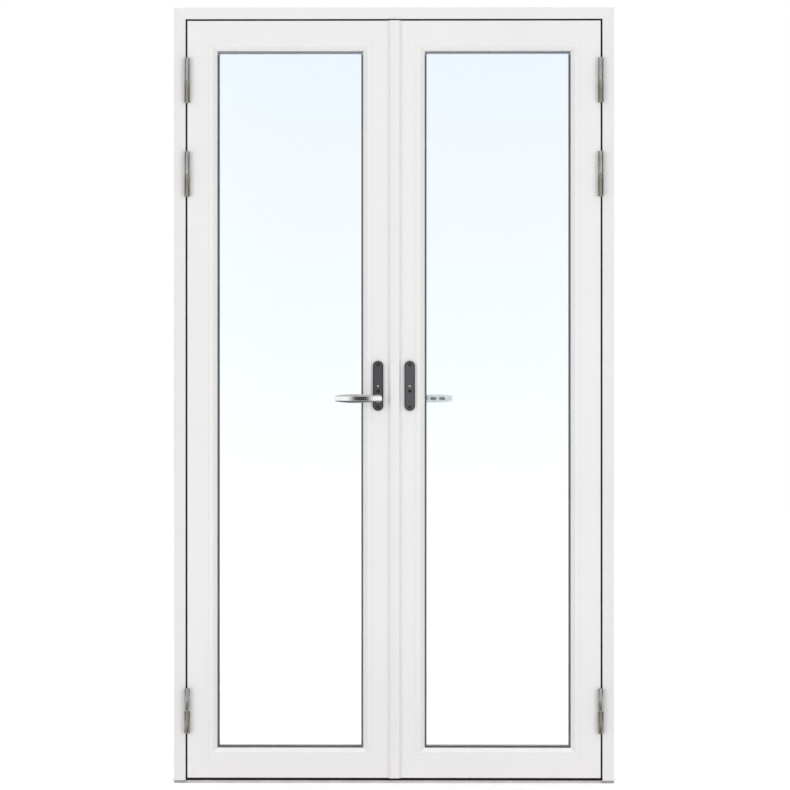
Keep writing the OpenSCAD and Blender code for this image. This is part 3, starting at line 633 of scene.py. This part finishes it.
def makeZinc(look, name):
    finish, tree, shader = startFinish(name)
    where = objectSpace(tree, zincGrain["stretch"])
    cloud = noise(tree, where, zincGrain["cloudScale"], 5, 0.6)
    colour = ramp(tree, cloud, [(0.34, look["stain"]), (0.62, look["colour"])])
    dress(tree, shader, colour, cloud, look["roughness"])
    shader.inputs["Metallic"].default_value = zincGrain["metal"]
    bump(tree, shader, noise(tree, where, zincGrain["scale"], 3), zincGrain["depth"])
    return finish


# mill aluminium of the threshold, with die lines along it
sillAluminium = {
    "colour": (0.68, 0.65, 0.65),
    "stain": (0.57, 0.545, 0.545),
    "stainScale": 14,
    "ends": (0.6, 0.6, 0.61),   # painted shade: darker under the jambs
    "endsFrom": (0.553, 0.557),
    "lineScale": 420,
    "lineStretch": (0.02, 1, 1),
    "lineDepth": 0.00008,
    "roughness": (0.38, 0.55),
    "metal": 0.75,
}


def makeSillAluminium(look):
    finish, tree, shader = startFinish("sillAluminium")
    lines = noise(tree, objectSpace(tree, look["lineStretch"]), look["lineScale"], 4, 0.6)
    where = objectSpace(tree)
    cloud = noise(tree, where, look["stainScale"], 5, 0.65)
    metal = ramp(tree, cloud, [(0.35, look["stain"]), (0.65, look["colour"])])
    # painted shade: the threshold's ends under the jambs are darkened
    along = calculate(tree, "ABSOLUTE", axisOf(tree, where, "X"))
    inner, outer = look["endsFrom"]
    ends = ramp(tree, along, [(inner, (1, 1, 1)), (outer, look["ends"])])
    dress(tree, shader, multiply(tree, metal, ends), lines, look["roughness"])
    shader.inputs["Metallic"].default_value = look["metal"]
    bump(tree, shader, lines, look["lineDepth"])
    return finish


# matte spacer bar between the panes, with its row of fine vent holes as dots of painted shade
spacerAluminium = {
    "colour": (0.58, 0.59, 0.61),
    "hole": (0.06, 0.06, 0.065),
    "holePitch": 0.005,
    "holeEdge": (0.14, 0.2),
    "cloudScale": 0.4,
    "roughness": (0.45, 0.6),
    "metal": 0.6,
}


def makeSpacerAluminium(look):
    finish, tree, shader = startFinish("spacerAluminium")
    where = objectSpace(tree, [1 / look["holePitch"]] * 3)
    cells = addNode(tree, "ShaderNodeTexVoronoi", Scale=1.0, Randomness=0.0)
    tree.links.new(where, cells.inputs["Vector"])
    inner, outer = look["holeEdge"]
    # painted shade: each vent hole is a dark dot
    colour = ramp(tree, cells.outputs["Distance"], [(inner, look["hole"]), (outer, look["colour"])])
    dress(tree, shader, colour, noise(tree, where, look["cloudScale"], 3), look["roughness"])
    shader.inputs["Metallic"].default_value = look["metal"]
    return finish


# pale moulded plastic of the small lock marks and bolt guides
palePlastic = {
    "colour": (0.46, 0.46, 0.47),
    "duller": (0.38, 0.38, 0.39),
    "cloudScale": 220,
    "roughness": (0.35, 0.5),
    "grainScale": 1500,
    "grainDepth": 0.00003,
}


def makePalePlastic(look):
    finish, tree, shader = startFinish("palePlastic")
    where = objectSpace(tree)
    cloud = noise(tree, where, look["cloudScale"], 3)
    colour = ramp(tree, cloud, [(0.35, look["duller"]), (0.65, look["colour"])])
    dress(tree, shader, colour, cloud, look["roughness"])
    bump(tree, shader, noise(tree, where, look["grainScale"], 2), look["grainDepth"])
    return finish


# blackened steel of the screws in the handle plates, and the shade down in every screw's drive
blackSteel = {"colour": (0.014, 0.014, 0.015), "worn": (0.035, 0.035, 0.037), "roughness": (0.35, 0.5)}
driveShade = {"colour": (0.005, 0.005, 0.005), "worn": (0.012, 0.012, 0.012), "roughness": (0.5, 0.7)}
steelGrain = {"cloudScale": 500, "metal": 0.5}


def makeBlackSteel(look, name):
    finish, tree, shader = startFinish(name)
    cloud = noise(tree, objectSpace(tree), steelGrain["cloudScale"], 4)
    colour = ramp(tree, cloud, [(0.45, look["colour"]), (0.75, look["worn"])])
    dress(tree, shader, colour, cloud, look["roughness"])
    shader.inputs["Metallic"].default_value = steelGrain["metal"]
    return finish


coat = makeWhiteCoat(whiteCoat, "whiteCoat", 1.0)
# painted shade: a darker copy of the same coat for the jambs' covers
jambPaintedShadeCoat = makeWhiteCoat(whiteCoat, "jambPaintedShadeCoat", whiteCoat["jambShade"])
pineUp = makePaintedPine(paintedPine, "paintedPineUpright", False)
pineAcross = makePaintedPine(paintedPine, "paintedPineAcross", True)
glass = makeClearGlass(clearGlass)
rubber = makeRubber(sealRubber, "sealRubber")
paneGasket = makeRubber(paneRubber, "paneRubber")
chrome = makeLeverChrome(leverChrome, "leverChromeOutside", 1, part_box("left_outer_lever")[0].y)
chromeInside = makeLeverChrome(leverChrome, "leverChromeInside", -1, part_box("left_inner_lever")[1].y)
plateDark = makeAnthracite(anthracite, "anthraciteLeft", 1.0)
# painted light: a lighter copy of the same paint for the right leaf's plates
platePaintedLightRight = makeAnthracite(anthracite, "anthracitePaintedLightRight", anthracite["rightPaintedLight"])
zincLeaf = makeZinc(zincCool, "zincCool")
zincFrame = makeZinc(zincWarm, "zincWarm")
zincPin = makeZinc(zincBright, "zincBright")
sillMetal = makeSillAluminium(sillAluminium)
spacerMetal = makeSpacerAluminium(spacerAluminium)
plastic = makePalePlastic(palePlastic)
darkScrew = makeBlackSteel(blackSteel, "blackSteel")
driveBlack = makeBlackSteel(driveShade, "driveShade")


# each CAD node gets its finish, and its edges are eased as the real ones are

edgeEase = {
    "cover": 0.0003,
    "timber": 0.0012,
    "plate": 0.0005,
    "hinge": 0.0004,
    "rubber": 0.0008,
    "sill": 0.0004,
}
easeSteps = {"weld": 0.00001, "flatAngle": 0.4, "edgeAngle": 24, "segments": 3}

# the first row whose word is in a node's name gives its finish and which edge it has
nodeFinishes = (
    ("jamb_cover", jambPaintedShadeCoat, "cover"),
    ("cover", coat, "cover"),
    ("meeting_strip", coat, "cover"),
    ("pane", glass, None),
    ("gasket", paneGasket, "rubber"),
    ("seal", rubber, "rubber"),
    ("weatherstrip", rubber, "rubber"),
    ("inner_lever", chromeInside, None),
    ("lever", chrome, None),
    ("right_outer_plate", platePaintedLightRight, "plate"),
    ("right_inner_plate", platePaintedLightRight, "plate"),
    ("plate", plateDark, "plate"),
    ("threshold", sillMetal, "sill"),
    ("spacer", spacerMetal, None),
    ("keeps", zincLeaf, None),
    ("rail", pineAcross, "timber"),
    ("head", pineAcross, "timber"),
    ("stile", pineUp, "timber"),
    ("jamb", pineUp, "timber"),
    ("beads", pineUp, "timber"),
    ("hinge_pins", zincPin, None),
    ("frame_hinges", zincFrame, "hinge"),
    ("leaf_hinges", zincLeaf, "hinge"),
    ("", zincLeaf, None),  # the lock and its bolts
)


def easeEdges(piece, width):
    weld = piece.modifiers.new("weld", "WELD")
    weld.merge_threshold = easeSteps["weld"]
    flat = piece.modifiers.new("flat", "DECIMATE")
    flat.decimate_type = "DISSOLVE"
    flat.angle_limit = math.radians(easeSteps["flatAngle"])
    ease = piece.modifiers.new("ease", "BEVEL")
    ease.width = width
    ease.segments = easeSteps["segments"]
    ease.limit_method = "ANGLE"
    ease.angle_limit = math.radians(easeSteps["edgeAngle"])
    ease.harden_normals = True


clearPick()
for name, piece in nodes.items():
    finish, edge = next(row[1:] for row in nodeFinishes if row[0] in name)
    piece.data.materials.clear()
    piece.data.materials.append(finish)
    if edge:
        easeEdges(piece, edgeEase[edge])
print("finishes on the CAD nodes")


# a disc with its upper rim rounded, left open in edit mode with its upper face picked
def startDisc(corners, radius, height, rim, rimSteps, finishes=()):
    clearPick()
    bpy.ops.mesh.primitive_cylinder_add(vertices=corners, radius=radius, depth=height, location=(0, 0, 0))
    disc = bpy.context.active_object
    for finish in finishes:
        disc.data.materials.append(finish)
    openEdit(disc)
    upper = height / 2 * upperPart
    pickEdges(disc, lambda a, b: a.z > upper and b.z > upper)
    bpy.ops.mesh.bevel(offset=rim, segments=rimSteps)
    pickFaces(disc, lambda middle, normal: normal.z > upFacing and middle.z > upper)
    return disc


# countersunk screws with a six-lobed drive
screwHead = {
    "corners": 36,
    "rim": 0.14,     # of the radius
    "drive": 0.42,   # of the radius, from the rim to the drive
    "valley": 0.74,  # how far the drive's valleys are drawn in
}


def modelScrew(look, finish):
    radius, height = look["radius"], look["height"]
    rim = radius * screwHead["rim"]
    screw = startDisc(screwHead["corners"], radius, height, rim, 3, (finish, driveBlack))
    bpy.ops.mesh.inset(thickness=radius * screwHead["drive"])
    ring = radius * (1 - screwHead["rim"] - screwHead["drive"])
    step = 360 / screwHead["corners"]
    upper = height / 2 * upperPart

    def inValley(at):
        if at.z < upper or at.to_2d().length > ring * 1.1:
            return False
        return round(math.degrees(math.atan2(at.y, at.x)) / step) % 6 in (0, 1, 5)

    def inDrive(middle, normal):
        return normal.z > upFacing and middle.z > upper and middle.to_2d().length < ring * 0.2

    pickCorners(screw, inValley)
    bpy.ops.transform.resize(value=(screwHead["valley"], screwHead["valley"], 1))
    pickFaces(screw, inDrive)
    pull(-look["recess"])
    screw.active_material_index = 1
    bpy.ops.object.material_slot_assign()
    return closeEdit(screw, "screwMaster")


# spots on the faces of a leaf's two handle plates, raised off them, at the heights asked for
def plateSpots(side, raised, heights, withLever=False):
    spots = []
    for name, out in ((side + "_outer_plate", -1), (side + "_inner_plate", 1)):
        if withLever and name.replace("plate", "lever") not in nodes:
            continue
        low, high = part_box(name)
        faceY = low.y if out < 0 else high.y
        for z in heights(low.z, high.z):
            spots.append((((low.x + high.x) / 2, faceY + out * raised, z), (0, out, 0)))
    return spots


# two screws in each handle plate
plateScrew = {"radius": 0.0046, "height": 0.0016, "recess": 0.0011, "proud": 0.00035, "fromEnd": 0.0102}


def addPlateScrews(look):
    master = modelScrew(look, darkScrew)
    raised = look["proud"] - look["height"] / 2
    for side in sides:
        spots = plateSpots(side, raised, lambda low, high: (low + look["fromEnd"], high - look["fromEnd"]))
        setCopies(master, spots, side + "PlateScrews", side + "_leaf", None)
    dropMaster(master)


addPlateScrews(plateScrew)
print("handle plate screws set")


# a pale round lock mark above the pin hole of each plate, its middle a little dished
lockMark = {
    "corners": 40,
    "radius": 0.0027,
    "height": 0.0010,
    "rim": 0.12,     # of the radius, as is the border
    "border": 0.2,
    "dish": 0.15,    # of the height
    "proud": 0.0004,
    "overMiddle": -0.0005,
}


def addLockMarks(look):
    radius, height = look["radius"], look["height"]
    mark = startDisc(look["corners"], radius, height, radius * look["rim"], 3)
    bpy.ops.mesh.inset(thickness=radius * look["border"])
    bpy.ops.transform.translate(value=(0, 0, -height * look["dish"]))
    closeEdit(mark, "markMaster")
    raised = look["proud"] - height / 2
    for side in sides:
        spots = plateSpots(side, raised, lambda low, high: [(low + high) / 2 + look["overMiddle"]])
        setCopies(mark, spots, side + "LockMarks", side + "_leaf", plastic)
    dropMaster(mark)


addLockMarks(lockMark)
print("lock marks set")


# the slotted pin that sits down in each plate's blind hole
lockPin = {
    "corners": 40,
    "radius": 0.0037,
    "height": 0.0012,
    "rim": 0.0003,
    "border": 0.0005,
    "slot": 0.0007,
    "slotDepth": 0.5,  # of the height
    "sunk": 0.0018,
    "underMiddle": 0.014,
}


def addLockPins(look):
    height, slot = look["height"], look["slot"]
    pin = startDisc(look["corners"], look["radius"], height, look["rim"], 2)
    bpy.ops.mesh.inset(thickness=look["border"])
    upper = height / 2 * upperPart

    def insideBorder(middle, normal):
        return normal.z > upFacing and middle.z > upper and middle.to_2d().length < look["radius"] * 0.6

    def inSlot(middle, normal):
        flat = normal.z > upFacing and middle.z > upper
        return flat and abs(middle.x) < slot * 0.4 and abs(middle.y) < slot

    for x in (-slot / 2, slot / 2):
        bpy.ops.mesh.select_all(action="DESELECT")
        pickFaces(pin, insideBorder)
        bpy.ops.mesh.bisect(plane_co=(x, 0, 0), plane_no=(1, 0, 0))
    pickFaces(pin, inSlot)
    pull(-height * look["slotDepth"])
    closeEdit(pin, "pinMaster")
    raised = -look["sunk"] - height / 2
    for side in sides:
        spots = plateSpots(side, raised, lambda low, high: [(low + high) / 2 - look["underMiddle"]])
        setCopies(pin, spots, side + "LockPins", side + "_leaf", darkScrew)
    dropMaster(pin)


addLockPins(lockPin)
print("lock pins set")


# a ring with a rounded shoulder round each lever's neck, on its plate
neckRing = {"corners": 72, "inner": 0.00825, "outer": 0.0112, "height": 0.0019, "shoulder": 0.0011}


def addNeckRings(look):
    clearPick()
    bpy.ops.mesh.primitive_circle_add(vertices=look["corners"], radius=look["outer"], fill_type="NGON")
    ring = bpy.context.active_object
    openEdit(ring)
    pickFaces(ring, lambda middle, normal: True)
    bpy.ops.mesh.inset(thickness=look["outer"] - look["inner"])
    pickFaces(ring, lambda middle, normal: middle.length < look["inner"] / 2)
    bpy.ops.mesh.delete(type="FACE")
    pickFaces(ring, lambda middle, normal: True)
    pull(look["height"])
    rim = look["outer"] * 0.99

    def onRim(at):
        return at.z > look["height"] * upperPart and at.to_2d().length > rim

    pickEdges(ring, lambda a, b: onRim(a) and onRim(b))
    bpy.ops.mesh.bevel(offset=look["shoulder"], segments=4)
    closeEdit(ring, "ringMaster")
    for side in sides:
        low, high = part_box(side + "_spindle")
        spindleZ = (low.z + high.z) / 2
        spots = plateSpots(side, 0, lambda *ends: [spindleZ], withLever=True)
        # painted shade: the rings take the darker zinc finish in place of chrome, for the lever's shadow
        # over them
        setCopies(ring, spots, side + "NeckRings", side + "_leaf", zincLeaf)
    dropMaster(ring)


addNeckRings(neckRing)
print("neck rings set")


# the three hinges of each side, as the CAD has them
hingeSet = {"length": 0.120, "upperStep": 0.251, "pinInset": 0.0076, "plateThickness": 0.0022}


def hingeMiddles():
    low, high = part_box("left_frame_hinges")
    bottom = low.z + hingeSet["length"] / 2
    top = high.z - hingeSet["length"] / 2
    return bottom, top - hingeSet["upperStep"], top


# domed caps on the hinges' ends, with a round socket
hingeCap = {
    "corners": 48,
    "radius": 0.0064,
    "height": 0.0022,
    "dome": 0.0008,
    "socket": 0.0019,
    "socketDepth": 0.45,  # of the height
    "proud": 0.0009,
}


def addHingeCaps(look):
    cap = startDisc(look["corners"], look["radius"], look["height"], look["dome"], 4)
    bpy.ops.mesh.inset(thickness=look["radius"] - look["dome"] - look["socket"])
    pull(-look["height"] * look["socketDepth"])
    closeEdit(cap, "capMaster")
    pinLow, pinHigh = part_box("hinge_pins")
    pinX = {"left": pinLow.x + hingeSet["pinInset"], "right": pinHigh.x - hingeSet["pinInset"]}
    y = (pinLow.y + pinHigh.y) / 2
    reach = hingeSet["length"] / 2 + look["proud"] - look["height"] / 2
    frameSpots = []
    for side in sides:
        leafSpots = []
        for z in hingeMiddles():
            leafSpots.append(((pinX[side], y, z + reach), (0, 0, 1)))
            frameSpots.append(((pinX[side], y, z - reach), (0, 0, -1)))
        setCopies(cap, leafSpots, side + "HingeCaps", side + "_leaf", zincLeaf)
    setCopies(cap, frameSpots, "frameHingeCaps", "frame", zincFrame)
    dropMaster(cap)


addHingeCaps(hingeCap)
print("hinge caps set")


# flush screws in the hinge plates, seen when a leaf stands open
hingeScrew = {
    "radius": 0.0036,
    "height": 0.0012,
    "recess": 0.00008,
    "proud": 0.00014,
    "behindFace": (0.0115, 0.0245),  # depth of the two rows behind the outer face
    "rise": (0.047, 0.018),          # height of each row's screws over and under the hinge's middle
}


def addHingeScrews(look):
    master = modelScrew(look, zincLeaf)
    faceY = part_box("head_cover")[0].y
    raised = hingeSet["plateThickness"] + look["proud"] - look["height"] / 2
    frameSpots = []
    for side in sides:
        leafLow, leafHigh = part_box(side + "_hinge_cover")
        jambLow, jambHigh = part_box(side + "_jamb_cover")
        leafEdge = leafLow.x if side == "left" else leafHigh.x
        jambEdge = jambHigh.x if side == "left" else jambLow.x
        leafX = leafEdge - inward[side] * raised
        jambX = jambEdge + inward[side] * raised
        leafSpots = []
        for z in hingeMiddles():
            for depth, rise in zip(look["behindFace"], look["rise"]):
                for up in (-rise, rise):
                    leafSpots.append(((leafX, faceY + depth, z + up), (-inward[side], 0, 0)))
                    frameSpots.append(((jambX, faceY + depth, z + up), (inward[side], 0, 0)))
        setCopies(master, leafSpots, side + "LeafHingeScrews", side + "_leaf", None)
    setCopies(master, frameSpots, "frameHingeScrews", "frame", None)
    dropMaster(master)


addHingeScrews(hingeScrew)
print("hinge screws set")


# raised screws in the locks' edge plates and in the bolt keeps of the head
lockScrew = {"radius": 0.0034, "height": 0.0014, "recess": 0.0009, "proud": 0.0011, "fromEnd": 0.011}
keepScrew = {"spread": 0.0150, "boltX": 0.02885}


def addLockScrews(look, keep):
    master = modelScrew(look, zincLeaf)
    raised = look["proud"] - look["height"] / 2
    for side in sides:
        low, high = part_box(side + "_lock_case")
        x = (high.x if side == "left" else low.x) + inward[side] * raised
        y = (low.y + high.y) / 2
        heights = (low.z + look["fromEnd"], high.z - look["fromEnd"])
        spots = [((x, y, z), (inward[side], 0, 0)) for z in heights]
        setCopies(master, spots, side + "LockScrews", side + "_leaf", None)
    low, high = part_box("head_keeps")
    y = (low.y + high.y) / 2
    spots = []
    for middle in (-keep["boltX"], keep["boltX"]):
        for shift in (-keep["spread"], keep["spread"]):
            spots.append(((middle + shift, y, low.z - raised), (0, 0, -1)))
    setCopies(master, spots, "keepScrews", "frame", None)
    dropMaster(master)


addLockScrews(lockScrew, keepScrew)
print("lock and keep screws set")


# screws that hold the threshold down, in the flat ahead of its tread grooves
sillScrew = {
    "radius": 0.0036,
    "height": 0.0016,
    "recess": 0.0009,
    "proud": 0.0011,
    "behindFace": 0.0068,
    "places": (-0.50, -0.25, 0.0, 0.25, 0.50),
    "treadHeight": 0.007,
}


def addSillScrews(look):
    master = modelScrew(look, zincLeaf)
    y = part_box("threshold")[0].y + look["behindFace"]
    z = look["treadHeight"] + look["proud"] - look["height"] / 2
    spots = [((x, y, z), (0, 0, 1)) for x in look["places"]]
    setCopies(master, spots, "sillScrews", "frame", None)
    dropMaster(master)


addSillScrews(sillScrew)
print("sill screws set")


# moulded guides where the bolt rods leave the leaves' top and bottom edges
rodGuide = {
    "width": 0.030,
    "depth": 0.017,
    "height": 0.0017,
    "hole": 0.0046,
    "holeCorners": 48,
    "corner": 0.004,
    "edge": 0.0006,
}


def modelRodGuide(look):
    height = look["height"]
    clearPick()
    bpy.ops.mesh.primitive_cylinder_add(vertices=look["holeCorners"], radius=look["hole"], depth=height,
                                        end_fill_type="NOTHING", location=(0, 0, height / 2))
    guide = bpy.context.active_object
    openEdit(guide)
    reachX, reachY = look["width"] / 2, look["depth"] / 2
    straightX, straightY = reachX - look["corner"], reachY - look["corner"]

    # where a corner of the hole's edge goes on the guide's rounded outline
    def outwards(at):
        angle = math.atan2(at.y, at.x)
        step = Vector((math.cos(angle), math.sin(angle)))
        reach = min(reachX / max(abs(step.x), 1e-6), reachY / max(abs(step.y), 1e-6))
        spot = step * reach
        over = Vector((max(abs(spot.x) - straightX, 0), max(abs(spot.y) - straightY, 0)))
        if over.length > look["corner"]:
            spot *= (1 - (over.length - look["corner"]) / spot.length)
        return spot

    for z in (0, height):
        pickEdges(guide, lambda a, b: abs(a.z - z) < sameHeight and abs(b.z - z) < sameHeight)
        pull(0)
        shape = bmesh.from_edit_mesh(guide.data)
        for corner in shape.verts:
            if corner.select:
                spot = outwards(corner.co)
                corner.co.x, corner.co.y = spot.x, spot.y
        bmesh.update_edit_mesh(guide.data)

    def onOutline(at):
        return at.to_2d().length > look["hole"] * 1.2

    pickEdges(guide, lambda a, b: onOutline(a) and onOutline(b) and abs(a.z - b.z) < sameHeight)
    bpy.ops.mesh.bridge_edge_loops()
    upper = height * upperPart
    pickEdges(guide, lambda a, b: onOutline(a) and onOutline(b) and a.z > upper and b.z > upper)
    bpy.ops.mesh.bevel(offset=look["edge"], segments=3)
    return closeEdit(guide, "guideMaster")


def addRodGuides(look):
    master = modelRodGuide(look)
    for side in sides:
        caseLow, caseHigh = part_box(side + "_lock_case")
        coverLow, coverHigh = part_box(side + "_hinge_cover")
        spindleLow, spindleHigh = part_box(side + "_spindle")
        y = (caseLow.y + caseHigh.y) / 2
        axis = (spindleLow.x + spindleHigh.x) / 2
        offset = inward[side] * (keepScrew["boltX"] - abs(axis))
        spots = [((axis - offset, y, coverHigh.z), (0, 0, 1)), ((axis + offset, y, coverLow.z), (0, 0, -1))]
        setCopies(master, spots, side + "RodGuides", side + "_leaf", plastic)
    dropMaster(master)


addRodGuides(rodGuide)
print("rod guides set")
